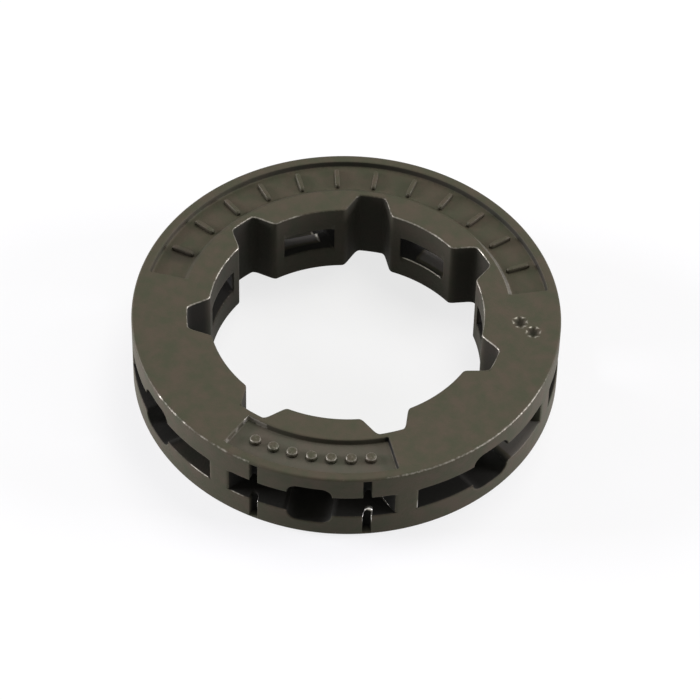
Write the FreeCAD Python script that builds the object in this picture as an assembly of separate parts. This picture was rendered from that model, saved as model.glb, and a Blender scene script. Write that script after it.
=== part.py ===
import FreeCAD, Part
import math
import os
from FreeCAD import Vector

# Chainsaw rim sprocket, one steel casting. Seven pockets in the rim take the drive links of the chain,
# and the splined bore slides on the toothed hub of the clutch drum.
# The axis is Z, the lower face lies on the plane Z = 0 and the marked pocket faces -Y.
# All sizes are in millimetres and degrees.

# Rim
OUTER_DIAMETER = 35.0
WIDTH = 7.0
POCKET_COUNT = 7
EDGE_BREAK = 0.15

# Splined bore: round lands with a tapered groove between each two
LAND_DIAMETER = 22.4
GROOVE_FLOOR_DIAMETER = 25.9
GROOVE_MOUTH = 3.9
GROOVE_FLOOR = 2.3
GROOVE_FLOOR_ROUND = 0.35
GROOVE_MOUTH_ROUND = 0.3

# Drive link pockets: a slot that narrows to a window in the land, wider at its middle
SLOT_WIDTH = 2.3
WEB_WIDTH = 1.9
WINDOW_LENGTH = 4.35
RELIEF_LENGTH = 3.6
RELIEF_HEIGHT = 4.2
RELIEF_CORNER = 0.9
RELIEF_BACK_WALL = 1.8

# Wear slits across the rail of the marked pocket, each with a round floor
SLIT_WIDTH = 0.7
SLIT_DEPTH = 0.8
SLIT_ANGLE = 15.2
SLIT_END_WALL = 0.25

# Sunk fields in the upper face: a short panel a little left of the marked pocket's middle, and a long band
# between two angles from +X
FIELD_DEPTH = 0.45
FIELD_LIP = 0.85
FIELD_HEIGHT = 3.15
FIELD_CORNER = 0.3
PANEL_SPAN = 49.5
PANEL_TURN = -0.9
BAND_START = 18.7
BAND_END = 174.8

# Room that a cutting shape has beyond the surface that it cuts
OVERCUT = 1.0

AXIS = Vector(0, 0, 1)
ORIGIN = Vector(0, 0, 0)
OUTER_RADIUS = OUTER_DIAMETER / 2
LAND_RADIUS = LAND_DIAMETER / 2
GROOVE_FLOOR_RADIUS = GROOVE_FLOOR_DIAMETER / 2
PITCH_ANGLE = 360 / POCKET_COUNT
MARKED_POCKET = -90
MIDDLE = WIDTH / 2


def polar(radius, angle, height=0.0):
    """The point at a radius and an angle in degrees, at a height."""
    turn = math.radians(angle)
    return Vector(radius * math.cos(turn), radius * math.sin(turn), height)


def half_angle(chord, radius):
    """Half of the angle, in degrees, that a chord spans on a circle."""
    return math.degrees(math.asin(chord / 2 / radius))


def arc(radius, start, end, height=0.0):
    """The edge along a circle about the axis, from one angle to another."""
    middle = polar(radius, (start + end) / 2, height)
    return Part.Arc(polar(radius, start, height), middle, polar(radius, end, height)).toShape()


def line(start, end):
    """The straight edge between two points."""
    return Part.LineSegment(start, end).toShape()


def prism(edges, height):
    """The upright solid over a closed flat outline."""
    return Part.Face(Part.Wire(edges)).extrude(Vector(0, 0, height))


def upright_edges(solid, radius):
    """The straight upright edges of a solid that stand on the circle of a radius."""
    found = []
    for edge in solid.Edges:
        ends = [vertex.Point for vertex in edge.Vertexes]
        if len(ends) < 2 or ends[0].isEqual(ends[1], 1e-6):
            continue
        across = math.hypot(ends[0].x - ends[1].x, ends[0].y - ends[1].y)
        reach = math.hypot(ends[0].x, ends[0].y)
        if across < 1e-6 and abs(reach - radius) < 1e-4:
            found.append(edge)
    return found


def face_edges(solid):
    """The edges that bound the upper and lower faces."""
    flat = [face for face in solid.Faces if face.BoundBox.ZLength < 1e-6]
    return [edge for face in flat for edge in face.Edges]


def around(shape):
    """A shape at each pocket, or each groove, around the axis."""
    return [shape.rotated(ORIGIN, AXIS, index * PITCH_ANGLE) for index in range(POCKET_COUNT)]


def make_bore():
    """The solid that the splined hub fills: the land circle with a tapered groove between each two lands."""
    mouth = half_angle(GROOVE_MOUTH, LAND_RADIUS)
    floor = half_angle(GROOVE_FLOOR, GROOVE_FLOOR_RADIUS)
    edges = []
    for index in range(POCKET_COUNT):
        groove = MARKED_POCKET + (index + 0.5) * PITCH_ANGLE
        next_mouth = groove + PITCH_ANGLE - mouth
        edges.append(line(polar(LAND_RADIUS, groove - mouth), polar(GROOVE_FLOOR_RADIUS, groove - floor)))
        edges.append(arc(GROOVE_FLOOR_RADIUS, groove - floor, groove + floor))
        edges.append(line(polar(GROOVE_FLOOR_RADIUS, groove + floor), polar(LAND_RADIUS, groove + mouth)))
        edges.append(arc(LAND_RADIUS, groove + mouth, next_mouth))
    bore = prism(edges, WIDTH)
    bore = bore.makeFillet(GROOVE_FLOOR_ROUND, upright_edges(bore, GROOVE_FLOOR_RADIUS))
    return bore.makeFillet(GROOVE_MOUTH_ROUND, upright_edges(bore, LAND_RADIUS))


def make_blank():
    """The plain rim: a disc with the splined bore, its edges broken on both faces."""
    disc = Part.makeCylinder(OUTER_RADIUS, WIDTH)
    ring = disc.cut(make_bore())
    return ring.makeChamfer(EDGE_BREAK, face_edges(ring))


def make_pocket():
    """The space for one drive link, at angle 0: two flanks run from the webs in to the window's ends."""
    rail_end = polar(OUTER_RADIUS, PITCH_ANGLE / 2 - half_angle(WEB_WIDTH, OUTER_RADIUS))
    window_end = polar(LAND_RADIUS, half_angle(WINDOW_LENGTH, LAND_RADIUS))
    flank = (rail_end - window_end).normalize()
    outer = rail_end + flank * OVERCUT
    inner = window_end - flank * OVERCUT
    base = MIDDLE - SLOT_WIDTH / 2
    corners = [
        Vector(inner.x, -inner.y, base),
        Vector(outer.x, -outer.y, base),
        Vector(OUTER_RADIUS + OVERCUT, 0, base),
        Vector(outer.x, outer.y, base),
        Vector(inner.x, inner.y, base),
    ]
    slot = prism([line(a, b) for a, b in zip(corners, corners[1:] + corners[:1])], SLOT_WIDTH)
    return slot.fuse(make_relief())


def make_relief():
    """The wider middle of a pocket, cut straight in from the rail, with rounded corners."""
    floor = LAND_RADIUS + RELIEF_BACK_WALL
    depth = OUTER_RADIUS + OVERCUT - floor
    corner = Vector(floor, -RELIEF_LENGTH / 2, MIDDLE - RELIEF_HEIGHT / 2)
    block = Part.makeBox(depth, RELIEF_LENGTH, RELIEF_HEIGHT, corner)
    along = [edge for edge in block.Edges if abs(edge.tangentAt(edge.FirstParameter).x) > 0.99]
    return block.makeFillet(RELIEF_CORNER, along)


def make_slit(angle):
    """One upright slit in the rail with a round floor, closed near both faces."""
    half = SLIT_WIDTH / 2
    centre = OUTER_RADIUS - SLIT_DEPTH + half
    height = WIDTH - 2 * SLIT_END_WALL
    mouth = Part.makeBox(SLIT_DEPTH - half + OVERCUT, SLIT_WIDTH, height, Vector(centre, -half, SLIT_END_WALL))
    floor = Part.makeCylinder(half, height, Vector(centre, 0, SLIT_END_WALL))
    return mouth.fuse(floor).rotated(ORIGIN, AXIS, angle)


def make_field(start, end):
    """One sunk field of the upper face, between two angles, with rounded corners."""
    outer = OUTER_RADIUS - FIELD_LIP
    inner = outer - FIELD_HEIGHT
    base = WIDTH - FIELD_DEPTH
    edges = [
        arc(outer, start, end, base),
        line(polar(outer, end, base), polar(inner, end, base)),
        arc(inner, end, start, base),
        line(polar(inner, start, base), polar(outer, start, base)),
    ]
    field = prism(edges, FIELD_DEPTH + OVERCUT)
    corners = upright_edges(field, outer) + upright_edges(field, inner)
    return field.makeFillet(FIELD_CORNER, corners)


def make_rim_sprocket():
    """The whole casting: the blank less its pockets, slits and sunk fields."""
    pockets = around(make_pocket().rotated(ORIGIN, AXIS, MARKED_POCKET))
    slits = [make_slit(MARKED_POCKET + side * SLIT_ANGLE) for side in (-1, 1)]
    panel_middle = MARKED_POCKET + PANEL_TURN
    panel = make_field(panel_middle - PANEL_SPAN / 2, panel_middle + PANEL_SPAN / 2)
    band = make_field(BAND_START, BAND_END)
    return make_blank().cut(pockets + slits + [panel, band])


os.makedirs("parts", exist_ok=True)
rim_sprocket = make_rim_sprocket()
rim_sprocket.Solids[0].exportStep("parts/rim_sprocket.step")
print("rim_sprocket solids", len(rim_sprocket.Solids), "valid", rim_sprocket.isValid())
print("volume", round(rim_sprocket.Volume, 2), "box", rim_sprocket.optimalBoundingBox())
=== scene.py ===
# %% [markdown]
# # A chainsaw's rim sprocket, rebuilt from one photograph
# The real object is one steel casting, a ring 35 mm across. The chain's drive links drop into seven pockets
# in its rim, and seven lands in its bore slide on the splined hub of the clutch drum.
# The CAD model gives the sizes and the frame. This lesson builds the surface that the eye sees: the same
# ring with its edges rounded by casting and tumbling, its oxide skin and the light around it.

# %% Opening
import math
import bpy
import numpy as np
from mathutils import Matrix, Vector


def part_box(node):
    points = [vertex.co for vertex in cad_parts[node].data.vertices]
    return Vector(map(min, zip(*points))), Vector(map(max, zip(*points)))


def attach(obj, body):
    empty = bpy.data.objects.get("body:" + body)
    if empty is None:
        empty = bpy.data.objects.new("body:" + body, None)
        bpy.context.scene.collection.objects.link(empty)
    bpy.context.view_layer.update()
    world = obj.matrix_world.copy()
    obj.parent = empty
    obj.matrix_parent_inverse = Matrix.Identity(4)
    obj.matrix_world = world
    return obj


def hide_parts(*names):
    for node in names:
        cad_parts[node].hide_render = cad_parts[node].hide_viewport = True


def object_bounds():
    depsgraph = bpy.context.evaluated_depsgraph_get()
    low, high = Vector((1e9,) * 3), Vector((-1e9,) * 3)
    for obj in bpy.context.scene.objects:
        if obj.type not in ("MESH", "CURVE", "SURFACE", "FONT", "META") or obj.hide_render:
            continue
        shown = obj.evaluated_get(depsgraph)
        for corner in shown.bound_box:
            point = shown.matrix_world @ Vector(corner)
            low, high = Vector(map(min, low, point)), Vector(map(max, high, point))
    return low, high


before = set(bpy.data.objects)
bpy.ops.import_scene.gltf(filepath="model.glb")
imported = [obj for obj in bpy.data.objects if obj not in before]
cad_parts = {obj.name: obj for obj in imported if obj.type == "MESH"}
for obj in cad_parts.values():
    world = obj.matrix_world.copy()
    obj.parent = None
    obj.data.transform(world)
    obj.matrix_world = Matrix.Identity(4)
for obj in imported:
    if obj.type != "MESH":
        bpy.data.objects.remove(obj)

cad_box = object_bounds()
MM = 0.001
print("CAD box", cad_box)

# %% [markdown]
# ## The camera
# The photograph was taken with a long lens, from about 30 cm, looking down at half a right angle. Place and
# lens come from a fit of the two rims and the bore to the picture. The object stands a little clockwise in
# the picture, so the camera is rolled by the same small angle. The view has no lens shift: the camera aims
# a few millimetres below the middle of the upper face.

# %% Camera
AZIMUTH = math.radians(8.56)
ELEVATION = math.radians(49.16)
ROLL = math.radians(1.4)
DISTANCE = 310.1 * MM
LENS, SENSOR = 195.9, 36
NEAREST = 10 * MM
AIM = (0.29 * MM, -3.1 * MM)
TARGET = Vector((0, 0, cad_box[1].z))


def view_axes(azimuth, elevation, roll):
    """The camera's right, up and backward directions: the backward one points from the object to the camera,
    and the other two turn about it by the roll."""
    level = Vector((math.cos(azimuth), math.sin(azimuth), 0))
    away = Vector((math.sin(azimuth), -math.cos(azimuth), 0))
    back = away * math.cos(elevation) + Vector((0, 0, math.sin(elevation)))
    right = Matrix.Rotation(roll, 3, back) @ level
    return right, back.cross(right), back


right, up, back = view_axes(AZIMUTH, ELEVATION, ROLL)
place = TARGET + back * DISTANCE
sight = (place - TARGET - right * AIM[0] - up * AIM[1]).normalized()
across = up.cross(sight).normalized()
turn = Matrix((across, sight.cross(across), sight)).transposed().to_4x4()
camera = bpy.data.objects.new("camera", bpy.data.cameras.new("camera"))
camera.data.lens = LENS
camera.data.sensor_width = SENSOR
camera.data.clip_start = NEAREST
camera.matrix_world = Matrix.Translation(place) @ turn
bpy.context.scene.collection.objects.link(camera)
bpy.context.scene.camera = camera
print("camera at", [round(c, 4) for c in place])

# %% [markdown]
# ## The sizes
# The ring's width and outer radius come from the CAD box. The other sizes repeat the CAD model's, in
# millimetres. Only the small rounds and the punched dots, which are finer than that model, are set here.
# Angles about the axis are in degrees from +X. The pockets are counted from the marked one, counter-clockwise
# as seen from above.

# %% Sizes
lowest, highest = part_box("rim_sprocket")
OUTER = (highest.x - lowest.x) / 2 / MM
WIDTH = (highest.z - lowest.z) / MM
MIDDLE = WIDTH / 2
COUNT = 7
PITCH = 360 / COUNT
CENTRES = -90 + PITCH * np.arange(COUNT)
MARKED, FRONT_RIGHT, FAR_RIGHT, FAR_LEFT, FRONT_LEFT = 0, 1, 3, 4, 6

# the bore: the radii of its lands and of its grooves' floors, and half a groove's width at mouth and floor
LAND, GROOVE, MOUTH_HALF, FLOOR_HALF = 11.2, 12.95, 1.95, 1.15

# the pockets: half of the slot's height, of the web between two pockets and of the window in the land, then
# the relief's half length, half height, corner and the radius of its floor
SLOT_HALF, WEB_HALF, WINDOW_HALF = 1.15, 0.95, 2.175
RELIEF_HALF, RELIEF_RISE, RELIEF_CORNER, RELIEF_FLOOR = 1.8, 2.1, 0.9, 13.0

# the slits: the angle from the marked pocket's middle, half width, depth and the wall left at each face
SLIT_ANGLE, SLIT_HALF, SLIT_DEPTH, SLIT_WALL = 15.2, 0.35, 0.8, 0.25

# the sunk fields: their radii and depth, and the angles of their ends
FIELD_INNER, FIELD_OUTER, FIELD_DEPTH = 13.5, 16.65, 0.45
PANEL_START, PANEL_END, BAND_START, BAND_END = -115.65, -66.15, 18.7, 174.8

# the rounds of the bore's edge, of the rail's edge and of the lips, and the two punched dots
BORE_EDGE, RAIL_EDGE, LIP = 0.15, 0.2, 0.12
PITS = ((14.08, 1.47), (15.28, 0.62))
PIT_RADIUS, PIT_DEPTH, PIT_NOTCHES = 0.6, 0.24, 6
print("outer radius", round(OUTER, 3), "width", round(WIDTH, 3))

# %% [markdown]
# ## The stations around the ring
# The ring's surface is one sheet. One way along it goes around the axis, in 616 stations. The other way goes
# over the section: up the bore, over the upper face, down the rail and into the pocket. A CAD mesh could be
# bevelled instead, but its long thin triangles don't shade well, and every edge here needs its own small
# round to catch the light.
# A pocket's right half has 45 stations. The first twelve follow the relief's outline, then come the slot's
# wall with the slit, the web's edge and the web. The left half mirrors them, and the seven pockets repeat
# them.

# %% Helpers for stations


def smooth(x, low, high):
    """The S-shaped step from 0 at the low end to 1 at the high end: three times the square of the fraction
    between them, less twice its cube."""
    t = np.clip((x - low) / (high - low), 0, 1)
    return t * t * (3 - 2 * t)


def ring(half, sign=1):
    """The stations of all sectors from those of one right half: mirrored to the left, then repeated."""
    return np.tile(np.concatenate([sign * half[:0:-1], half[:-1]]), COUNT)


print("a smooth step's middle", smooth(0.5, 0, 1))

# %% Stations on the rail
# angles from the pocket's middle: the slot's wall before and after the slit, the web's edge with its round,
# and the slit's half width with its rim as a share of it
BEFORE_SLIT, AFTER_SLIT, BEFORE_WEB = 13.4, 17.4, 21.2
WEB_EDGE = PITCH / 2 - math.degrees(math.asin(WEB_HALF / OUTER))
WEB_ROUND, WEB_FLAT = 0.75, WEB_EDGE + 1.3
SLIT_EDGE = math.degrees(SLIT_HALF / OUTER)
SLIT_RIM = 1.04

# the relief's outline: half of its top, the corner's arc and the foot of its side, each with the way that its
# lip leans out
quarter = np.radians(np.linspace(0, 90, 8))[1:]
flat = np.linspace(0, RELIEF_HALF - RELIEF_CORNER, 4)
relief_y = np.concatenate([flat, RELIEF_HALF - RELIEF_CORNER * (1 - np.sin(quarter)), [RELIEF_HALF]])
relief_h = np.concatenate([
    flat * 0 + RELIEF_RISE, RELIEF_RISE - RELIEF_CORNER * (1 - np.cos(quarter)), [SLOT_HALF]])
relief_ny = np.concatenate([flat * 0, np.sin(quarter), [1]])
relief_nz = np.concatenate([flat * 0 + 1, np.cos(quarter), [1]])

# the slot's wall with the slit, the web's edge and the web, as angles on the rail
window_rail = math.degrees(math.asin(WINDOW_HALF / OUTER))
slit_share = np.array([0, 0.3, 0.6, 0.85, 0.97, SLIT_RIM, 1.13])
slit_share = np.concatenate([-slit_share[:0:-1], slit_share])
web_close = np.array([-WEB_ROUND, -0.4, -0.15, 0, 0.15, 0.4, WEB_ROUND])
wall = np.concatenate([
    np.linspace(window_rail, BEFORE_SLIT, 6), SLIT_ANGLE + SLIT_EDGE * slit_share,
    np.linspace(AFTER_SLIT, BEFORE_WEB, 4), WEB_EDGE + web_close, np.linspace(WEB_FLAT, PITCH / 2, 3)])
half_y = np.concatenate([relief_y, OUTER * np.sin(np.radians(wall))])
half_h = np.concatenate([relief_h, wall * 0 + SLOT_HALF])
half_ny = np.concatenate([relief_ny, wall * 0])
half_nz = np.concatenate([relief_nz, wall * 0 + 1])
half_rail = np.concatenate([np.linspace(0, window_rail, len(relief_y) + 1)[:-1], wall])
HALF = len(half_y)
print("stations in a half", HALF)

# %% Stations on the bore
# the same stations as angles on the bore, close together at the mouth and at the floor of the groove
MOUTH = PITCH / 2 - math.degrees(math.asin(MOUTH_HALF / LAND))
FLOOR = PITCH / 2 - math.degrees(math.asin(FLOOR_HALF / GROOVE))
MOUTH_CLOSE, FLOOR_CLOSE = 0.9, 1.0
window_bore = math.degrees(math.asin(WINDOW_HALF / LAND))
bore = np.concatenate([
    np.linspace(window_bore, MOUTH - MOUTH_CLOSE, 7, endpoint=False),
    MOUTH + np.linspace(-MOUTH_CLOSE, MOUTH_CLOSE, 8),
    np.linspace(MOUTH + MOUTH_CLOSE, FLOOR - FLOOR_CLOSE, 6)[1:-1],
    FLOOR + np.linspace(-FLOOR_CLOSE, FLOOR_CLOSE, 8),
    np.linspace(FLOOR + FLOOR_CLOSE, PITCH / 2, 7)[1:]])
half_bore = np.concatenate([np.degrees(np.arcsin(relief_y / LAND)), bore])
print("stations in a half on the bore", len(half_bore))

# %% Columns
# the stations of all pockets: a place across the pocket, the mouth's half height, the way that its lip leans,
# and angles on the rail and on the bore
TINY = 1e-6
y = ring(half_y, -1)
rise = ring(half_h)
ny = ring(half_ny, -1)
nz = ring(half_nz)
rail = np.radians(ring(half_rail, -1))
bore_turn = np.radians(ring(half_bore, -1))
sector = np.repeat(np.arange(COUNT), 2 * HALF - 2)
centre = np.radians(CENTRES[sector])
from_middle = np.abs(np.degrees(rail))
in_window = ring(np.arange(HALF)) < len(relief_y)
on_web = from_middle > WEB_EDGE - TINY
COLUMNS = len(y)
print("columns", COLUMNS)

# %% Slits, lips and flanks
# the slits' round floors, the lip's round, which runs out at the web, and the window's, which runs out at its
# ends; then how far out the land, the rail and the pocket's flank stand
LIP_END, WEB_BREAK = 0.9, 0.06
slit_at = np.where(sector == MARKED, (from_middle - SLIT_ANGLE) / SLIT_EDGE, np.inf)
in_slit = np.abs(slit_at) < 1
dip = np.where(in_slit, SLIT_DEPTH - SLIT_HALF * (1 - np.sqrt(np.maximum(1 - slit_at ** 2, 0))), 0)
slit_rim = (np.abs(np.abs(slit_at) - SLIT_RIM) < 0.02).astype(float)
corner = np.maximum(1 - np.abs(from_middle - WEB_EDGE) / WEB_ROUND, 0) ** 2
lip = LIP * np.clip((WEB_EDGE - from_middle) / LIP_END, 0, 1)
window_round = np.where(in_window, LIP * np.sqrt(np.maximum(1 - (y / WINDOW_HALF) ** 6, 0)), 0)
land_x = np.sqrt(np.maximum(LAND ** 2 - y ** 2, 0))
rail_x = np.sqrt(OUTER ** 2 - y ** 2)
end_x, end_y = OUTER * math.cos(math.radians(WEB_EDGE)), OUTER * math.sin(math.radians(WEB_EDGE))
window_x = math.sqrt(LAND ** 2 - WINDOW_HALF ** 2)
flank_x = window_x + (np.abs(y) - WINDOW_HALF) * (end_x - window_x) / (end_y - WINDOW_HALF)
flank_x = np.where(on_web, rail_x, flank_x) - WEB_BREAK * corner
inner_x = np.where(in_window, land_x + window_round, flank_x)
print("columns in slits", int(in_slit.sum()), "and in windows", int(in_window.sum()))

# %% [markdown]
# ## The bore's outline
# On the real ring the lands and grooves are cast with the rest, and the teeth of the hub fit between them. A
# solid hub could be cut out of the ring instead, but then each edge would have to be rounded afterwards.
# Here the outline is a radius for each angle: the land's circle, the straight flank of the groove and the
# circle of its floor, joined with rounded corners.

# %% Bore outline
MOUTH_SOFT, FLOOR_SOFT = 0.35, 0.45


def soft_max(a, b, k):
    """The larger of two values, with the corner between them rounded over a width k by a parabola."""
    return np.maximum(a, b) + np.maximum(k - np.abs(a - b), 0) ** 2 / (4 * k)


def bore_radius(turns):
    """The bore's radius at angles from a pocket's middle: the larger of the land's radius and the groove's
    flank, but no more than the groove's floor, with both corners rounded. The flank is a straight line, and
    where it runs away from the angle its radius is set beyond the floor."""
    first = LAND * np.array([math.cos(math.radians(MOUTH)), math.sin(math.radians(MOUTH))])
    last = GROOVE * np.array([math.cos(math.radians(FLOOR)), math.sin(math.radians(FLOOR))])
    away = np.array([last[1] - first[1], first[0] - last[0]])
    facing = away[0] * np.cos(np.abs(turns)) + away[1] * np.sin(np.abs(turns))
    flank = np.where(facing > 0, away @ first / np.maximum(facing, TINY), 2 * GROOVE)
    return -soft_max(-soft_max(LAND, flank, MOUTH_SOFT), -GROOVE, FLOOR_SOFT)


bore_r = bore_radius(bore_turn)
bore_x = bore_r * np.cos(bore_turn + centre)
bore_y = bore_r * np.sin(bore_turn + centre)
along_x = np.roll(bore_x, -1) - np.roll(bore_x, 1)
along_y = np.roll(bore_y, -1) - np.roll(bore_y, 1)
length = np.hypot(along_x, along_y)
into_x, into_y = along_y / length, -along_x / length
in_groove = smooth(bore_r, LAND + 0.1, LAND + 0.6)
print("bore radius from", round(bore_r.min(), 3), "to", round(bore_r.max(), 3))

# %% [markdown]
# ## The columns of the upper face
# The two sunk fields don't begin and end where pockets do. They could be cut out of the face afterwards, but
# that leaves thin triangles at their walls. So between bore and rail the columns drift a little around the
# axis, until six of them stand close about each end of a field, and 29 of them over two small punched dots.
# The drift grows and fades evenly between those places.

# %% Face columns
END_STEP = 0.31
DOTS_START, DOTS_END, DOT_COLUMNS = -0.6, 9.2, 29


def stretch(turns, start, end, fade):
    """1 between two angles about the axis and 0 outside, with S-shaped ends as wide as the fade: degrees."""
    away = np.abs((turns - (start + end) / 2 + 180) % 360 - 180)
    return 1 - smooth(away, (end - start) / 2 - fade / 2, (end - start) / 2 + fade / 2)


def drifted(even):
    """The columns' even angles plus a drift, which is set at the fields' ends and at the dots and runs evenly
    between them."""
    close = np.array([-0.45, -END_STEP, -0.1, 0.1, END_STEP, 0.45])
    marks = [end + close for end in (PANEL_START, PANEL_END, BAND_START, BAND_END)]
    marks.append(np.linspace(DOTS_START, DOTS_END, DOT_COLUMNS))
    starts = [int(np.argmin(np.abs(even - mark.mean()))) - len(mark) // 2 for mark in marks]
    columns = np.concatenate([start + np.arange(len(mark)) for start, mark in zip(starts, marks)])
    angles = np.concatenate(marks)
    drift = (angles - even[columns % COLUMNS] + 180) % 360 - 180
    return even + np.interp(np.arange(COLUMNS), columns % COLUMNS, drift, period=COLUMNS)


field_deg = drifted(np.degrees(centre + (bore_turn + rail) / 2))
field_turn = np.radians(field_deg)
panel = stretch(field_deg, PANEL_START, PANEL_END, 2 * END_STEP)
band = stretch(field_deg, BAND_START, BAND_END, 2 * END_STEP)
in_field = panel + band
print("smallest step between columns", round(np.diff(field_deg).min(), 3), "degrees")

# %% [markdown]
# ## Where the edges are rubbed bright and painted with highlights
# Handling and the hub rub the skin off edges. A mask of all sharp edges could show that, but it would
# brighten them all alike. The picture shows thin bright lines on some edges only: all along the far half of
# the bore, on two stretches of the rail, at the panel's left end, at the start of the band, and around the
# slits. These lines are partly wear and partly highlights where the edges catch the light, and here both are
# painted into the colour. Elsewhere the oxide still covers the edges. So each edge gets a value for every
# column: 0 for whole skin, 1 for bare steel and 2 for a painted glint in the colour of polished steel. Some
# walls get a value for painted shade in the same way.

# %% Rubbed edges and painted highlights
# stretches of the rail's edge, of the bore and of the slot's lower lip, each from one angle to another
RAIL_RIGHT, RAIL_LEFT = (-70, -15), (-143, -104)
BORE_FAR, BORE_LESS_BRIGHT, BORE_LEFT = (-20, 200), (84, 120), (145, 225)
LIP_FIRST, LIP_SECOND = (-126, -119), (-113, -108)


def broken(turns, count, phase):
    """A value that breaks a line into uneven dashes: a half plus a sum of three cosines of the angle, each
    with whole waves around the ring, kept within 0 and 1."""
    t = np.radians(turns)
    waves = np.cos(count * t + phase)
    waves = waves + 0.7 * np.cos(1.7 * count // 1 * t + 2 * phase)
    waves = waves + 0.5 * np.cos(2.9 * count // 1 * t - phase)
    return np.clip(0.5 + 0.35 * waves, 0, 1)


rail_deg = np.degrees(rail + centre)
bore_deg = np.degrees(bore_turn + centre)
# wear on the edges, with painted highlights where they catch the light: the rail's edge, the bore's edge and
# the slot's lower lip; a stretch of the bore's edge is less bright
rail_wear_and_highlight = 0.2 + 0.4 * stretch(rail_deg, *RAIL_RIGHT, 16)
rail_wear_and_highlight += (0.05 + 0.5 * broken(rail_deg, 60, 1)) * stretch(rail_deg, *RAIL_LEFT, 10)
bore_wear_and_highlight = (0.35 + 0.3 * broken(bore_deg, 23, 2)) * stretch(bore_deg, *BORE_FAR, 20)
bore_wear_and_highlight = 0.2 + bore_wear_and_highlight * (1 - 0.8 * stretch(bore_deg, *BORE_LESS_BRIGHT, 8))
upper_rub = np.full(COLUMNS, 0.15)
lower_wear_and_highlight = 0.25 + 0.6 * stretch(rail_deg, *LIP_FIRST, 2) + 0.5 * stretch(rail_deg, *LIP_SECOND, 2)
# painted highlights, some as bright as polished steel: the slits' arch and legs, the far right window's lip
# and a web's corner
arch_glint = np.where(rail > 0, 2.0, 0.1)
leg_glint = slit_rim * np.where(rail > 0, 2.0, 1.5 * (from_middle < SLIT_ANGLE))
window_glint = np.where(sector == FAR_RIGHT, 1.0, 0.3)
web_glint = np.where((sector == FRONT_RIGHT) & (rail < 0), 1.7, 0.3)
print("most wear on the rail's edge", round(rail_wear_and_highlight.max(), 2), "and on the bore's", round(bore_wear_and_highlight.max(), 2))

# %% Wear, painted highlights and painted shade on the fields' walls
# where the walls are rubbed and painted with highlights, where the band's inner wall is soft, and where
# painted shade makes its walls darker or paler
PANEL_LEFT, BAND_RIGHT = (-118, -108), (8, 46)
BAND_SOFT, BAND_LESS_SOFT = (12, 185), (12, 50)
INNER_DARK, OUTER_PALE = (90, 178), (125, 178)
field_wear_and_highlight = 0.75 * stretch(field_deg, *PANEL_LEFT, 2) + stretch(field_deg, *BAND_RIGHT, 20)
end_wear_and_highlight = stretch(field_deg, PANEL_START - 1, PANEL_START + 1, 1)
field_slope = 1 + 3 * stretch(field_deg, *BAND_SOFT, 10) - stretch(field_deg, *BAND_LESS_SOFT, 10)
inner_shade = 0.45 * panel + 0.25 * stretch(field_deg, *INNER_DARK, 20)
outer_shade = 0.65 * band - 0.35 * stretch(field_deg, *OUTER_PALE, 30) * band
end_shade = 0.9 * stretch(field_deg, PANEL_END - 1, PANEL_END + 1, 1)
print("softest inner wall", round(field_slope.max(), 2), "times the width of the steepest")

# %% [markdown]
# ## The bore's wall
# Each stretch of the section is a block of rows, and each row goes once around the ring. The first goes up
# the bore and over its edge. Two more values travel with every point: how much an edge is worn or carries a
# painted highlight, and how much painted shade or painted light the skin gets there. They could be painted
# into an image, but values on the points follow the edges exactly and need no image. The material reads both.

# %% Helpers for rows


def block(x, y, z, wear_and_highlight=0.0, painted_shade_and_light=0.0):
    """Rows of points around the ring, each with its place, its wear and painted highlight, and its painted
    shade: 1 for full painted shade, 0 for none and below 0 for painted light, a paler skin."""
    return np.stack(np.broadcast_arrays(x, y, z, wear_and_highlight, painted_shade_and_light), axis=-1)


def turned(x, y):
    """Points of a pocket's own frame, with x out along its middle, turned to their places around the ring."""
    return x * np.cos(centre) - y * np.sin(centre), x * np.sin(centre) + y * np.cos(centre)


def steps(*values):
    """Values as a column, one for each row."""
    return np.array(values, dtype=float)[:, None]


def quarter_turn(count):
    """Angles from 0 to a right angle as a column, for the rows of a quarter round."""
    return np.radians(np.linspace(0, 90, count))[:, None]


print("a block of two rows", block(bore_x, bore_y, steps(0, 1)).shape)

# %% Bore wall
# the rows beside a window, as shares of the slot's half: the bore and the flanks meet there
SIDE_LEVELS = (0, 0.5, 0.95, 1)


def bore_wall():
    """The bore from mid-width up to its edge's round: straight up along the outline, from the window's edge
    where there is a window; then a quarter round that leans into the material by BORE_EDGE. The bore gets
    painted shade, more in the grooves and on the left side than on the other lands, and its edge's round
    carries wear and painted highlights."""
    start = np.where(in_window, MIDDLE + SLOT_HALF + window_round, MIDDLE + SLOT_HALF)
    low = np.where(in_window, start, MIDDLE + SLOT_HALF * steps(*SIDE_LEVELS))
    high = start + (WIDTH - BORE_EDGE - start) * steps(0, 0.3, 0.6, 0.9)
    t = quarter_turn(6)
    lean = BORE_EDGE * (1 - np.cos(t))
    height = WIDTH - BORE_EDGE * (1 - np.sin(t))
    shade = 0.46 + 0.25 * in_groove + 0.16 * stretch(bore_deg, *BORE_LEFT, 30)
    brightened, shaded = np.sin(2 * t) * bore_wear_and_highlight, shade * (1 - np.sin(t))
    edge = block(bore_x + into_x * lean, bore_y + into_y * lean, height, brightened, shaded)
    return [block(bore_x, bore_y, low, 0, shade), block(bore_x, bore_y, high, 0, shade), edge]


print("rows up the bore", sum(len(rows) for rows in bore_wall()))

# %% [markdown]
# ## The faces
# The upper face is flat, with the two fields sunk into it and two punched dots beside the band. Walls and
# floors could be pieces of their own, but as a height over circles about the axis the whole face is one
# formula: the fields' walls are steep S-steps, and so are the dots' sides. The lower face is plain.

# %% Sunk fields and dots
FIELD_WALL, FIELD_LEAN, HALF_WAY = 0.08, 0.06, 15.0


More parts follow.
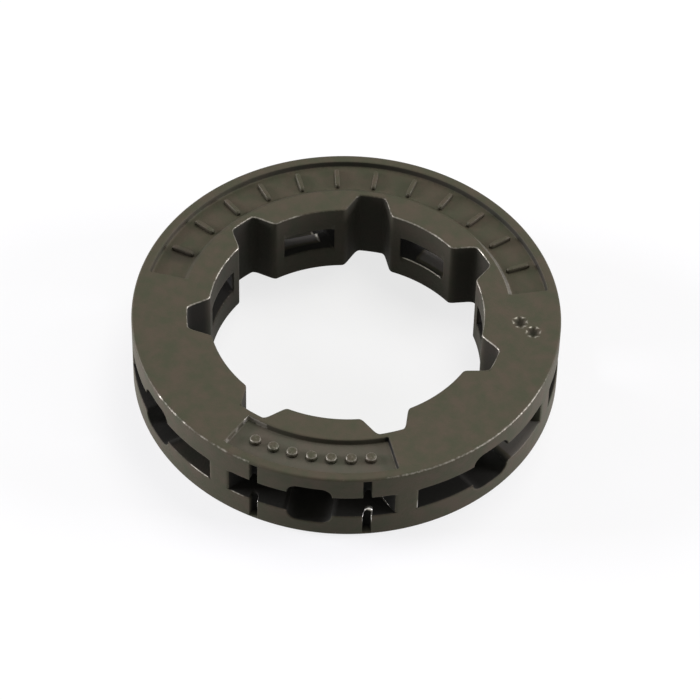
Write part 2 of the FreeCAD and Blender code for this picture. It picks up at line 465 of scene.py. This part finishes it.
def dots(x, y):
    """How far the punched dots sink the face, and how close a point is to a notched rim. A dot's radius and
    the wear of its rim swing with the angle, once for each notch."""
    sunk, rims = 0, 0
    for middle_x, middle_y in PITS:
        away, turns = np.hypot(x - middle_x, y - middle_y), np.arctan2(y - middle_y, x - middle_x)
        swing = np.cos(PIT_NOTCHES * turns + middle_x)
        share = away / (PIT_RADIUS * (1 + 0.12 * swing))
        sunk = sunk + PIT_DEPTH * (1 - smooth(share, 0.25, 1))
        rims = rims + (0.6 - 0.4 * swing) * np.exp(-((share - 1) / 0.2) ** 2)
    return sunk, rims


def sunk_rows():
    """The upper face between the fields' walls: the height drops by FIELD_DEPTH, times an S-step along the
    radius, times one along the angle. Where field_slope is over 1, the inner wall is a wider, softer slope.
    Walls are rubbed and painted with highlights at the panel's left end and at the start of the band and
    painted with shade elsewhere, the panel's floor gets a little painted light, and the dots painted shade."""
    edges = steps(-FIELD_WALL, -0.045, -0.015, 0.015, 0.045, FIELD_WALL)
    inner = FIELD_INNER + edges * field_slope + FIELD_LEAN * (field_slope - 1)
    outer = FIELD_OUTER + edges + 0 * field_turn
    part = np.linspace(0.03, 0.94, 26)[:, None]
    r = np.concatenate([inner, inner[-1] + (outer[0] - inner[-1]) * part, outer])
    step = smooth(edges, -FIELD_WALL, FIELD_WALL) + 0 * field_turn
    low = np.concatenate([step, np.ones((len(part), COLUMNS)), 1 - step]) * in_field
    x, y = r * np.cos(field_turn), r * np.sin(field_turn)
    pits, rims = dots(x, y)
    on_wall = (low > 0) & (low < 0.95)
    inner_wear_and_highlight = field_wear_and_highlight * (1 - smooth(r, FIELD_INNER + 0.5, FIELD_INNER + 1.1))
    brightened = np.where(on_wall, inner_wear_and_highlight + end_wear_and_highlight * (0.15 + 0.45 * np.cos(5 * r)), 0)
    shaded = end_shade + np.where(r < HALF_WAY, inner_shade, outer_shade)
    shaded = np.where(on_wall & (low > 0.1), shaded, 0) - np.where(low >= 0.95, 0.15 * panel, 0)
    return block(x, y, WIDTH - FIELD_DEPTH * low - pits, brightened + rims, shaded + 2.5 * pits)


print("rows between the fields' walls", len(sunk_rows()))

# %% Faces
FACE_ROOM = 0.25


def plain_row():
    """The lower face's one row between bore and rail."""
    r = (FIELD_INNER + FIELD_OUTER) / 2
    return block(r * np.cos(field_turn), r * np.sin(field_turn), np.full((1, COLUMNS), WIDTH))


def face(middle):
    """A flat face from the bore's edge out to the rail's edge: rows go straight over to circles about the
    axis, then come the middle rows, and then rows go straight over to the rail's edge."""
    from_x, from_y = bore_x + into_x * BORE_EDGE, bore_y + into_y * BORE_EDGE
    inner, outer = FIELD_INNER - FACE_ROOM, FIELD_OUTER + FACE_ROOM
    inner_x, inner_y = inner * np.cos(field_turn), inner * np.sin(field_turn)
    part = steps(0.12, 0.5, 1)
    start = block(from_x + (inner_x - from_x) * part, from_y + (inner_y - from_y) * part, WIDTH)
    to_x, to_y = (OUTER - RAIL_EDGE) * np.cos(rail + centre), (OUTER - RAIL_EDGE) * np.sin(rail + centre)
    outer_x, outer_y = outer * np.cos(field_turn), outer * np.sin(field_turn)
    part = steps(0, 0.7)
    end = block(outer_x + (to_x - outer_x) * part, outer_y + (to_y - outer_y) * part, WIDTH)
    return [start, middle, end]


print("rows over the upper face", sum(len(rows) for rows in face(sunk_rows())))

# %% [markdown]
# ## The rail
# The rail is what the chain's links ride on. Its rows start level under the edge and close in, row by row, on
# the outline of the slot's mouth with its wider relief. The slits could be cut out of it, but here they only
# need their few columns moved inwards.

# %% Rail


def rail_wall(legs):
    """The rail from its upper edge's round down to the slot's lip. The radius is OUTER, less the slit's depth
    inside a slit; the height goes by shares from a level row to the mouth's outline. Four level rows stand
    close about the slits' ends. The edge's round carries wear and painted highlights, the last rows carry the
    legs' painted glints beside a slit, and inside a slit the rail gets painted shade."""
    t = quarter_turn(6)
    r = OUTER - RAIL_EDGE * (1 - np.sin(t))
    z = WIDTH - RAIL_EDGE * (1 - np.cos(t))
    edge = block(r * np.cos(rail + centre), r * np.sin(rail + centre), z, np.sin(2 * t) * rail_wear_and_highlight)
    down = steps(0.21, 0.235, 0.265, 0.3, 0.5, 0.5, 0.5, 0.5, 0.5, 0.5)
    part = steps(0, 0, 0, 0, 0, 0.2, 0.4, 0.6, 0.8, 0.94)
    mouth_turn = np.arcsin((y + ny * lip) / OUTER)
    mouth_z = MIDDLE + rise + nz * lip
    angle = rail + (mouth_turn - rail) * part + centre
    z = WIDTH - down + (mouth_z - WIDTH + down) * part
    below = z < WIDTH - SLIT_WALL
    r = OUTER - dip * below
    brightened = 0.3 * slit_rim * below + legs * smooth(part, 0.5, 0.8)
    return [edge, block(r * np.cos(angle), r * np.sin(angle), z, brightened, 1.0 * (r < OUTER))]


print("rows down the rail", sum(len(rows) for rows in rail_wall(leg_glint)))

# %% [markdown]
# ## The pockets
# A drive link drops through the slot between the two rails. The slot's walls run in at one level to the
# flanks, and at the middle they reach the window in the land. Seven cuts could make the pockets, but the lips
# and the windows have quarter rounds, as the cast skin and the running chain give them, and rows that turn
# over each lip make those in one go.
# Next to no light reaches into the pockets. The picture shows the lower wall lit only in the two far windows
# and in the right end of the pockets on both sides of the marked one, with two bright glints. Here the walls
# get painted shade, and that light and the glints are painted into the lower wall's colour.

# %% Light in the pockets
# how far out the far windows' painted light fades, how far across a pocket its end begins, the angles on the
# rail, in radians, where the painted glint's line starts and ends, and the painted bright spot's place across
# its pocket
FAR_WINDOW = (13.8, 14.6)
POCKET_END = (2.0, 2.6)
GLINT_START, GLINT_END = (0.29, 0.31), (0.36, 0.38)
SPOT_Y, SPOT_HALF = -1.1, 0.05


def unlit(x):
    """The painted light on the slot's upper wall: next to nothing."""
    return 0.12 + 0 * x


def lit(x):
    """The painted light on the slot's lower wall: 0 for none, 1 for open skin and up to 2 for a paler skin.
    It is a sum over the four lit places, each a product of S-steps along and across its pocket."""
    near_window = 1 - smooth(x, *FAR_WINDOW)
    far_left = 1.9 * (sector == FAR_LEFT) * smooth(y, -1.25, -1.0) * smooth(x, 11.9, 12.1) * near_window
    far_right = 1.4 * (sector == FAR_RIGHT) * smooth(-y, -1.1, -0.8) * smooth(x, 11.5, 11.7) * near_window
    right_end = 1.35 * (sector == FRONT_RIGHT) * smooth(y, *POCKET_END)
    left_end = 0.25 * (sector == FRONT_LEFT) * smooth(y, *POCKET_END)
    return 0.08 + far_left + far_right + right_end + left_end


def no_glints(x, part):
    """The painted glints on the slot's upper wall: none."""
    return 0 * x


def glints(x, part):
    """The painted glints on the slot's lower wall: a bright line where it meets the marked pocket's right
    flank, between two angles on the rail, and a bright spot in the far left window."""
    line = (sector == MARKED) * smooth(rail, *GLINT_START) * (1 - smooth(rail, *GLINT_END))
    line = line * smooth(part, 0.86, 0.96)
    spot = (sector == FAR_LEFT) * (np.abs(y - SPOT_Y) < SPOT_HALF)
    spot = spot * smooth(x, 12.1, 12.3) * (1 - smooth(x, 13.0, 13.4))
    return 1.4 * line + 1.8 * spot


print("columns with a lit lower wall", int((lit(np.full(COLUMNS, RELIEF_FLOOR)) > 0.2).sum()))

# %% Pocket walls
BESIDE_SLIT, FLOOR_ROUND = 1.1, 0.1


def slot_wall(rub, arch_glint, legs, window_glint, lit, glints):
    """The slot's wall: a quarter round over the lip, then straight in at one distance from the pocket's
    middle to the flank or the window. Inside the relief it starts at the relief's outline and drops to the
    slot at the relief's floor. The wall and the window's edge get painted shade, less the painted light from
    lit; the lip, the slits' arch and legs and the window's edge carry wear, painted highlights and glints."""
    t = quarter_turn(5)
    off = lip * (1 - np.sin(t))
    r = OUTER - dip - lip * (1 - np.cos(t))
    lip_y = y + ny * off
    lip_x = np.sqrt(r ** 2 - lip_y ** 2)
    beside_slit = np.abs(slit_at) < BESIDE_SLIT
    brightened = np.where(beside_slit, np.where(in_slit, arch_glint, legs), np.sin(2 * t) * lip / LIP * rub)
    dark = np.where(in_slit, np.maximum(1 - arch_glint, 0), (1 - np.cos(t)) * (1 - lit(rail_x)))
    over = block(*turned(lip_x, lip_y), MIDDLE + rise + nz * off, brightened, dark)
    start_x = np.sqrt((OUTER - dip - lip) ** 2 - y ** 2)
    thirds, drop = steps(0.33, 0.66, 1), steps(0.03, 0, -0.03, -FLOOR_ROUND)
    relief_x = np.concatenate([
        start_x + (RELIEF_FLOOR + FLOOR_ROUND - start_x) * thirds, RELIEF_FLOOR + drop + 0 * y,
        RELIEF_FLOOR - FLOOR_ROUND + (inner_x - RELIEF_FLOOR + FLOOR_ROUND) * thirds])
    part = steps(0.1, 0.22, 0.35, 0.48, 0.6, 0.72, 0.82, 0.92, 0.985, 1)
    x = np.where(in_window, relief_x, start_x + (inner_x - start_x) * part)
    fall = steps(1, 1, 1, 0.92, 0.5, 0.08, 0, 0, 0, 0)
    z = MIDDLE + SLOT_HALF + (rise - SLOT_HALF) * fall
    wall = block(*turned(x, y), z, glints(x, part), 1 - lit(x))
    edge_x = np.where(in_window, land_x + window_round * (1 - np.sin(t)), inner_x)
    edge_z = MIDDLE + SLOT_HALF + window_round * (1 - np.cos(t))
    edge = block(*turned(edge_x, y), edge_z, np.sin(2 * t) * in_window * window_glint, 0.6)
    return [over, wall, edge]


def flank(corner_wear_and_glint):
    """The pocket's flank, or the web's front, straight down from the slot's wall to mid-width. The flanks get
    more painted shade the deeper they lie, and in the marked pocket they are painted dark up to the rail.
    The corners carry wear and, on one web, a painted glint."""
    z = MIDDLE + SLOT_HALF * steps(*SIDE_LEVELS[::-1])
    end_z = np.where(in_window, MIDDLE + SLOT_HALF + window_round, z)
    x = np.where(in_window, land_x, flank_x)
    painted_shade = np.clip(np.where(sector == MARKED, 0.85, 0.5) + (rail_x - x) / 3, 0, 1) * (1 - on_web)
    return [block(*turned(x, y), end_z, corner_wear_and_glint * corner, painted_shade)]


print("rows down a flank", len(flank(0)[0]))

# %% Both halves
# the lower half is built like the upper one and then mirrored at mid-width
upper = bore_wall() + face(sunk_rows()) + rail_wall(0)
upper = upper + slot_wall(upper_rub, 0, 0, 0.2, unlit, no_glints) + flank(0.3)
lower = bore_wall() + face(plain_row()) + rail_wall(leg_glint)
lower = lower + slot_wall(lower_wear_and_highlight, arch_glint, leg_glint, window_glint, lit, glints) + flank(web_glint)
upper, lower = np.concatenate(upper), np.concatenate(lower)
lower[..., 2] = WIDTH - lower[..., 2]
print("rows", len(upper), len(lower))

# %% [markdown]
# ## Closing the sheet
# Neighbouring points make four-sided faces. Where stations meet, at the windows' edges, the webs and
# mid-width, their points fall together. Blender's Merge by Distance could join them. Here they are welded
# before the mesh is made, as whole arrays: faces that lose a side become triangles or go, and the number of
# triangles is known at once.

# %% Mesh helpers
WELD = 2e-5


def sheet_faces(rows, first, flip):
    """Four-sided faces between neighbouring rows and columns of one sheet, without those across the windows,
    where the rows of the bore begin and those of the flanks end."""
    v, u = np.meshgrid(np.arange(rows - 1), np.arange(COLUMNS), indexing="ij")
    after = (u + 1) % COLUMNS
    corners = [v * COLUMNS + u, (v + 1) * COLUMNS + u, (v + 1) * COLUMNS + after, v * COLUMNS + after]
    beside_window = in_window[u] | in_window[after]
    levels = len(SIDE_LEVELS)
    kept = ~(beside_window & ((v < levels - 1) | (v >= rows - levels)))
    quads = np.stack(corners, axis=-1)[kept] + first
    return quads[:, ::-1] if flip else quads


def weld(points, quads):
    """Points at one place become one, and faces keep only their different corners: four, three or none."""
    cells = np.round(points[:, :3] / WELD).astype(np.int64)
    _, index, inverse = np.unique(cells, axis=0, return_index=True, return_inverse=True)
    quads = inverse.reshape(-1)[quads]
    same = quads == np.roll(quads, -1, axis=1)
    folded = (quads[:, 0] == quads[:, 2]) | (quads[:, 1] == quads[:, 3])
    whole = quads[(same.sum(1) == 0) & ~folded]
    cut = (same.sum(1) == 1) & ~folded
    return points[index], whole, quads[cut][~same[cut]].reshape(-1, 3)


def add_mesh(name, points, quads):
    """A smooth-shaded object from points in millimetres and four-sided faces, with the points' wear and
    painted highlights, and their painted shade and light, as attributes."""
    points, whole, threes = weld(points, quads)
    mesh = bpy.data.meshes.new(name)
    mesh.from_pydata((points[:, :3] * MM).tolist(), [], whole.tolist() + threes.tolist())
    for channel, label in ((3, "wear_and_highlight"), (4, "painted_shade_and_light")):
        values = points[:, channel].astype(np.float32)
        mesh.attributes.new(label, "FLOAT", "POINT").data.foreach_set("value", values)
    mesh.shade_smooth()
    obj = bpy.data.objects.new(name, mesh)
    bpy.context.scene.collection.objects.link(obj)
    print(name, len(points), "points,", 2 * len(whole) + len(threes), "triangles")
    return obj


print("points in one cell of", WELD, "mm are welded")

# %% Rim
upper_faces = sheet_faces(len(upper), 0, False)
lower_faces = sheet_faces(len(lower), len(upper) * COLUMNS, True)
points = np.concatenate([upper.reshape(-1, 5), lower.reshape(-1, 5)])
rim = add_mesh("rim", points, np.concatenate([upper_faces, lower_faces]))
rim.modifiers.new("even_normals", "WEIGHTED_NORMAL").keep_sharp = True
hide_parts("rim_sprocket")
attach(rim, "root")

# %% [markdown]
# ## Plain raised marks in the sunk fields
# Small plain marks stand on the floors of the fields, cast with the ring: bars like those of a dial along the
# band, and a row of seven pips, one for each pocket, in the panel over the marked pocket. Bevelled boxes and
# cylinders could stand there too. As small pillows one formula makes both kinds, soft as a casting is.

# %% Marks
MARK_RISE, MARK_SINK, MARK_POWER, MARK_SIDES = 0.43, 0.03, 0.45, 36
RUB_LEVEL, RUB_SPREAD = 0.87, 0.22


def pillows(turns, length, width, power, rub):
    """Closed pillows on the field's floor at angles about the axis. In plan each side's share is the cosine
    or sine of the angle around to a power, 1 for an oval and less for a rounded rectangle. The section is
    made alike, with MARK_POWER, and is rubbed about RUB_LEVEL of its height."""
    a = np.linspace(0, 2 * np.pi, MARK_SIDES, endpoint=False)
    t = np.radians(np.linspace(0, 90, 9)[1:])
    b = np.concatenate([[0, 0.5, 1], np.cos(t) ** MARK_POWER])[:, None]
    up = np.concatenate([[0, 0, 0], np.sin(t) ** MARK_POWER])[:, None]
    out = length / 2 * np.sign(np.cos(a)) * np.abs(np.cos(a)) ** power * b
    side = width / 2 * np.sign(np.sin(a)) * np.abs(np.sin(a)) ** power * b
    turns = np.radians(turns)[:, None, None]
    r = (FIELD_INNER + FIELD_OUTER) / 2 + out
    x = r * np.cos(turns) - side * np.sin(turns)
    y = r * np.sin(turns) + side * np.cos(turns)
    z = WIDTH - FIELD_DEPTH - MARK_SINK + MARK_RISE * up
    brightened = rub * np.clip(1 - np.abs(up - RUB_LEVEL) / RUB_SPREAD, 0, 1)
    # the marks' feet get painted shade, darkest where they meet the field's floor
    points = np.stack(np.broadcast_arrays(x, y, z, brightened, 0.4 * (1 - up)), axis=-1)
    k, v, u = np.meshgrid(np.arange(len(turns)), np.arange(len(b) - 1), np.arange(MARK_SIDES), indexing="ij")
    first = (k * len(b) + v) * MARK_SIDES
    above, after = first + MARK_SIDES, (u + 1) % MARK_SIDES
    quads = np.stack([first + u, first + after, above + after, above + u], axis=-1)
    return points.reshape(-1, 5), quads.reshape(-1, 4)


bar_turns = np.linspace(30, 163, 12)
pip_turns = (PANEL_START + PANEL_END) / 2 + np.linspace(-18, 18, COUNT)
bars = add_mesh("band_bars", *pillows(bar_turns, length=2.0, width=0.42, power=0.45, rub=0.35))
pips = add_mesh("panel_pips", *pillows(pip_turns, length=0.95, width=0.95, power=1, rub=0.65))
for piece in (bars, pips):
    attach(piece, "root")

# %% [markdown]
# ## The oxide skin
# The steel is blackened: a thin dark olive oxide, satin and a little blotchy, over the grain of the casting.
# On edges the skin is rubbed thin and the bare steel shows, and painted highlights and glints brighten some
# edges further. Deep in the pockets and on shaded walls the skin is dull and gets painted shade, and painted
# light makes it paler in a few places. An image could be painted for it, but noise on the object's own
# coordinates has no seams, and the values on the points say where the skin is worn or painted with a
# highlight, and where it gets painted shade or painted light. Three node groups turn these into masks for
# one material.

# %% Node helpers


def node(tree, kind, values=None, **settings):
    """A shader node with its settings and the values of its input sockets."""
    made = tree.nodes.new(kind)
    for key, value in settings.items():
        setattr(made, key, value)
    for key, value in (values or {}).items():
        made.inputs[key].default_value = value
    return made


def ramp(tree, value, low, high, shape="LINEAR"):
    """A mask from a value: 0 at the low end, 1 at the high end, and a straight or S-shaped step between."""
    made = node(tree, "ShaderNodeMapRange", {"From Min": low, "From Max": high}, interpolation_type=shape)
    tree.links.new(value, made.inputs["Value"])
    return made.outputs["Result"]


def group(name, inputs, outputs):
    """An empty shader node group with value sockets, and its two end nodes."""
    tree = bpy.data.node_groups.new(name, "ShaderNodeTree")
    for label, value in inputs.items():
        socket = tree.interface.new_socket(label, in_out="INPUT", socket_type="NodeSocketFloat")
        socket.default_value = value
    for label in outputs:
        tree.interface.new_socket(label, in_out="OUTPUT", socket_type="NodeSocketFloat")
    return tree, tree.nodes.new("NodeGroupInput"), tree.nodes.new("NodeGroupOutput")


def feed(tree, value, socket):
    """Links a socket, or sets it to a constant."""
    if isinstance(value, bpy.types.NodeSocket):
        tree.links.new(value, socket)
    else:
        socket.default_value = value


def mix_colour(tree, factor, first, second):
    """A colour mix: the factor comes from a socket, and each colour from a socket or a constant."""
    mix = node(tree, "ShaderNodeMix", data_type="RGBA")
    tree.links.new(factor, mix.inputs["Factor"])
    feed(tree, first, mix.inputs[6])
    feed(tree, second, mix.inputs[7])
    return mix.outputs[2]


def mix_value(tree, factor, first, second):
    """A value between two others, each from a socket or a constant, by a factor from a socket."""
    span = node(tree, "ShaderNodeMapRange")
    tree.links.new(factor, span.inputs["Value"])
    feed(tree, first, span.inputs["To Min"])
    feed(tree, second, span.inputs["To Max"])
    return span.outputs["Result"]


print("helpers for nodes")

# %% Skin groups
BLOTCHES, GRAINS = 700.0, 4200.0
SMUDGE_PLACE = (-14.4 * MM, 4.0 * MM, 6.6 * MM)
SMUDGE_SCALE = (530, 1000, 1000)


def blotch_group():
    """Soft blotches and fine grain from the place on the object: two noises with so many spots to a metre."""
    tree, start, end = group("skin_blotches", {"Blotches": BLOTCHES}, ["Blotch", "Grain"])
    place = node(tree, "ShaderNodeTexCoord")
    wide = node(tree, "ShaderNodeTexNoise", {"Detail": 4.0, "Roughness": 0.6})
    fine = node(tree, "ShaderNodeTexNoise", {"Scale": GRAINS, "Detail": 3.0, "Roughness": 0.65})
    tree.links.new(place.outputs["Object"], wide.inputs["Vector"])
    tree.links.new(place.outputs["Object"], fine.inputs["Vector"])
    tree.links.new(start.outputs["Blotches"], wide.inputs["Scale"])
    tree.links.new(ramp(tree, wide.outputs["Fac"], 0.35, 0.65), end.inputs["Blotch"])
    tree.links.new(fine.outputs["Fac"], end.inputs["Grain"])
    return tree


def wear_and_highlight_group():
    """Where the skin is rubbed off or painted with a highlight, from the edge's own value broken up by the
    grain, and where a painted glint takes the colour of polished steel; the place's painted shade, and its
    painted light, which is the painted shade below 0."""
    tree, start, end = group("edge_wear_and_highlights", {"Grain": 0.5}, ["Mask", "PaintedGlint", "Depth", "PaintedLight"])
    brightened = node(tree, "ShaderNodeAttribute", attribute_name="wear_and_highlight")
    painted_shade_node = node(tree, "ShaderNodeAttribute", attribute_name="painted_shade_and_light")
    lifted = node(tree, "ShaderNodeMath", operation="ADD")
    tree.links.new(brightened.outputs["Fac"], lifted.inputs[0])
    tree.links.new(start.outputs["Grain"], lifted.inputs[1])
    rub_and_glint, painted_shade = lifted.outputs["Value"], painted_shade_node.outputs["Fac"]
    tree.links.new(ramp(tree, rub_and_glint, 0.75, 1.45, "SMOOTHSTEP"), end.inputs["Mask"])
    tree.links.new(ramp(tree, rub_and_glint, 1.5, 2.5), end.inputs["PaintedGlint"])
    tree.links.new(painted_shade, end.inputs["Depth"])
    tree.links.new(ramp(tree, painted_shade, 0.0, -1.0), end.inputs["PaintedLight"])
    return tree


def smudge_group():
    """One soft dark smudge on the upper face. The way from its middle times SMUDGE_SCALE has the length 1 on
    an oval, about 1.9 mm out along X and 1 mm along Y. The mask fades from 1 at 0.3 to 0 at 1.2 of that
    length."""
    tree, _, end = group("dark_smudge", {}, ["Mask"])
    place = node(tree, "ShaderNodeTexCoord")
    away = node(tree, "ShaderNodeVectorMath", {1: SMUDGE_PLACE}, operation="SUBTRACT")
    oval = node(tree, "ShaderNodeVectorMath", {1: SMUDGE_SCALE}, operation="MULTIPLY")
    size = node(tree, "ShaderNodeVectorMath", operation="LENGTH")
    tree.links.new(place.outputs["Object"], away.inputs[0])
    tree.links.new(away.outputs["Vector"], oval.inputs[0])
    tree.links.new(oval.outputs["Vector"], size.inputs[0])
    tree.links.new(ramp(tree, size.outputs["Value"], 1.2, 0.3, "SMOOTHSTEP"), end.inputs["Mask"])
    return tree


print("blotches", BLOTCHES, "and grains", GRAINS, "to a metre")

# %% Oxide steel
OLIVE, BROWN = (0.046, 0.047, 0.026, 1), (0.064, 0.051, 0.033, 1)
# the deep skin is painted shade and the pale skin painted light; the polished steel is the colour of painted
# glints
SOOT, PAINTED_SHADE_SKIN, PAINTED_LIGHT_SKIN = (0.012, 0.011, 0.008, 1), (0.008, 0.008, 0.0065, 1), (0.165, 0.155, 0.14, 1)
BARE_STEEL, PAINTED_GLINT_STEEL = (0.24, 0.225, 0.185, 1), (0.8, 0.78, 0.72, 1)
steel = bpy.data.materials.new("oxide_steel_skin")
steel.use_nodes = True
tree = steel.node_tree
shader = tree.nodes["Principled BSDF"]
shader.inputs["Specular IOR Level"].default_value = 0.2
blotches = node(tree, "ShaderNodeGroup", node_tree=blotch_group())
wear_and_highlight = node(tree, "ShaderNodeGroup", node_tree=wear_and_highlight_group())
tree.links.new(blotches.outputs["Grain"], wear_and_highlight.inputs["Grain"])
smudge = node(tree, "ShaderNodeGroup", node_tree=smudge_group())
skin = mix_colour(tree, blotches.outputs["Blotch"], OLIVE, BROWN)
skin = mix_colour(tree, mix_value(tree, smudge.outputs["Mask"], 0.0, 0.45), skin, SOOT)
# painted light: a paler skin where the points' shade value goes below 0
skin = mix_colour(tree, wear_and_highlight.outputs["PaintedLight"], skin, PAINTED_LIGHT_SKIN)
# painted shade: a darker skin in the pockets, the bore, the fields' walls, the dots and the marks' feet
skin = mix_colour(tree, wear_and_highlight.outputs["Depth"], skin, PAINTED_SHADE_SKIN)
# painted glints: where the wear value runs past 1.5 the bare steel turns the colour of polished steel
bare = mix_colour(tree, wear_and_highlight.outputs["PaintedGlint"], BARE_STEEL, PAINTED_GLINT_STEEL)
# bare steel where the skin is rubbed off, and painted highlights where edges catch the light
skin = mix_colour(tree, wear_and_highlight.outputs["Mask"], skin, bare)
tree.links.new(skin, shader.inputs["Base Color"])
dull = mix_value(tree, wear_and_highlight.outputs["Depth"], 0.58, 0.9)
tree.links.new(mix_value(tree, wear_and_highlight.outputs["Mask"], dull, 0.40), shader.inputs["Roughness"])
tree.links.new(mix_value(tree, wear_and_highlight.outputs["Mask"], 0.2, 0.8), shader.inputs["Metallic"])
bump = node(tree, "ShaderNodeBump", {"Strength": 0.25, "Distance": 0.06 * MM})
tree.links.new(blotches.outputs["Grain"], bump.inputs["Height"])
tree.links.new(bump.outputs["Normal"], shader.inputs["Normal"])
for piece in (rim, bars, pips):
    piece.data.materials.append(steel)
print("material", steel.name)

# %% [markdown]
# ## Floor and light
# The object was cut out of its surroundings onto white, so the floor and the world are white too. More light
# could make them white, but it would bleach the steel as well, so they are white only to the camera and in
# reflections. The light is soft: a wide lamp behind and above lights the thin bright lines that are painted
# on the far edges, and two low lamps, left and right, brighten the rail towards both sides.

# %% Floor
FLOOR_SIDE, FLOOR_DROP = 1.0, 0.02 * MM
DIM_PAPER, SEEN_PAPER, WHITE = (0.35, 0.35, 0.35, 1), (0.95, 0.95, 0.95, 1), (1, 1, 1, 1)
corners = [(x * FLOOR_SIDE, y * FLOOR_SIDE, -FLOOR_DROP) for x, y in ((-1, -1), (1, -1), (1, 1), (-1, 1))]
floor = bpy.data.objects.new("floor", bpy.data.meshes.new("floor"))
floor.data.from_pydata(corners, [], [(0, 1, 2, 3)])
bpy.context.scene.collection.objects.link(floor)


def seen_directly(tree):
    """1 for what the camera sees itself, in a glossy surface or through glass, and 0 for light on its way."""
    ray = node(tree, "ShaderNodeLightPath")
    seen = node(tree, "ShaderNodeMath", operation="MAXIMUM")
    through = node(tree, "ShaderNodeMath", operation="MAXIMUM")
    tree.links.new(ray.outputs["Is Camera Ray"], seen.inputs[0])
    tree.links.new(ray.outputs["Is Glossy Ray"], seen.inputs[1])
    tree.links.new(seen.outputs["Value"], through.inputs[0])
    tree.links.new(ray.outputs["Is Transmission Ray"], through.inputs[1])
    return through.outputs["Value"]


paper = bpy.data.materials.new("white_paper")
paper.use_nodes = True
tree = paper.node_tree
shader = tree.nodes["Principled BSDF"]
shader.inputs["Roughness"].default_value = 0.9
shader.inputs["Specular IOR Level"].default_value = 0.0
glow = node(tree, "ShaderNodeEmission", {"Color": WHITE, "Strength": 1.0})
seen = seen_directly(tree)
blend = node(tree, "ShaderNodeMixShader")
tree.links.new(mix_colour(tree, seen, DIM_PAPER, SEEN_PAPER), shader.inputs["Base Color"])
tree.links.new(mix_value(tree, seen, 0.0, 0.75), blend.inputs["Fac"])
tree.links.new(shader.outputs["BSDF"], blend.inputs[1])
tree.links.new(glow.outputs["Emission"], blend.inputs[2])
tree.links.new(blend.outputs["Shader"], tree.nodes["Material Output"].inputs["Surface"])
floor.data.materials.append(paper)
print("floor", 2 * FLOOR_SIDE, "m wide")

# %% World and lamps
world = bpy.data.worlds.new("white_room")
world.use_nodes = True
bpy.context.scene.world = world
tree = world.node_tree
tree.nodes["Background"].inputs["Color"].default_value = WHITE
tree.links.new(mix_value(tree, seen_directly(tree), 0.22, 1.0), tree.nodes["Background"].inputs["Strength"])


def soft_lamp(name, place, size, power, colour):
    """A square lamp that faces the object."""
    lamp = bpy.data.lights.new(name, "AREA")
    lamp.energy = power
    lamp.size = size
    lamp.color = colour
    obj = bpy.data.objects.new(name, lamp)
    place = Vector(place)
    obj.matrix_world = Matrix.Translation(place) @ place.to_track_quat("Z", "Y").to_matrix().to_4x4()
    bpy.context.scene.collection.objects.link(obj)


soft_lamp("top_lamp", (0.15, 0.35, 0.7), size=0.4, power=2.6, colour=(1, 0.99, 0.94))
soft_lamp("right_lamp", (0.6, 0.1, 0.15), size=0.25, power=5.2, colour=(0.9, 0.875, 1))
soft_lamp("left_lamp", (-0.6, -0.02, 0.145), size=0.25, power=6.6, colour=(0.9, 0.88, 1))
bpy.context.scene.view_settings.view_transform = "Standard"
print("lamps", len(bpy.data.lights))
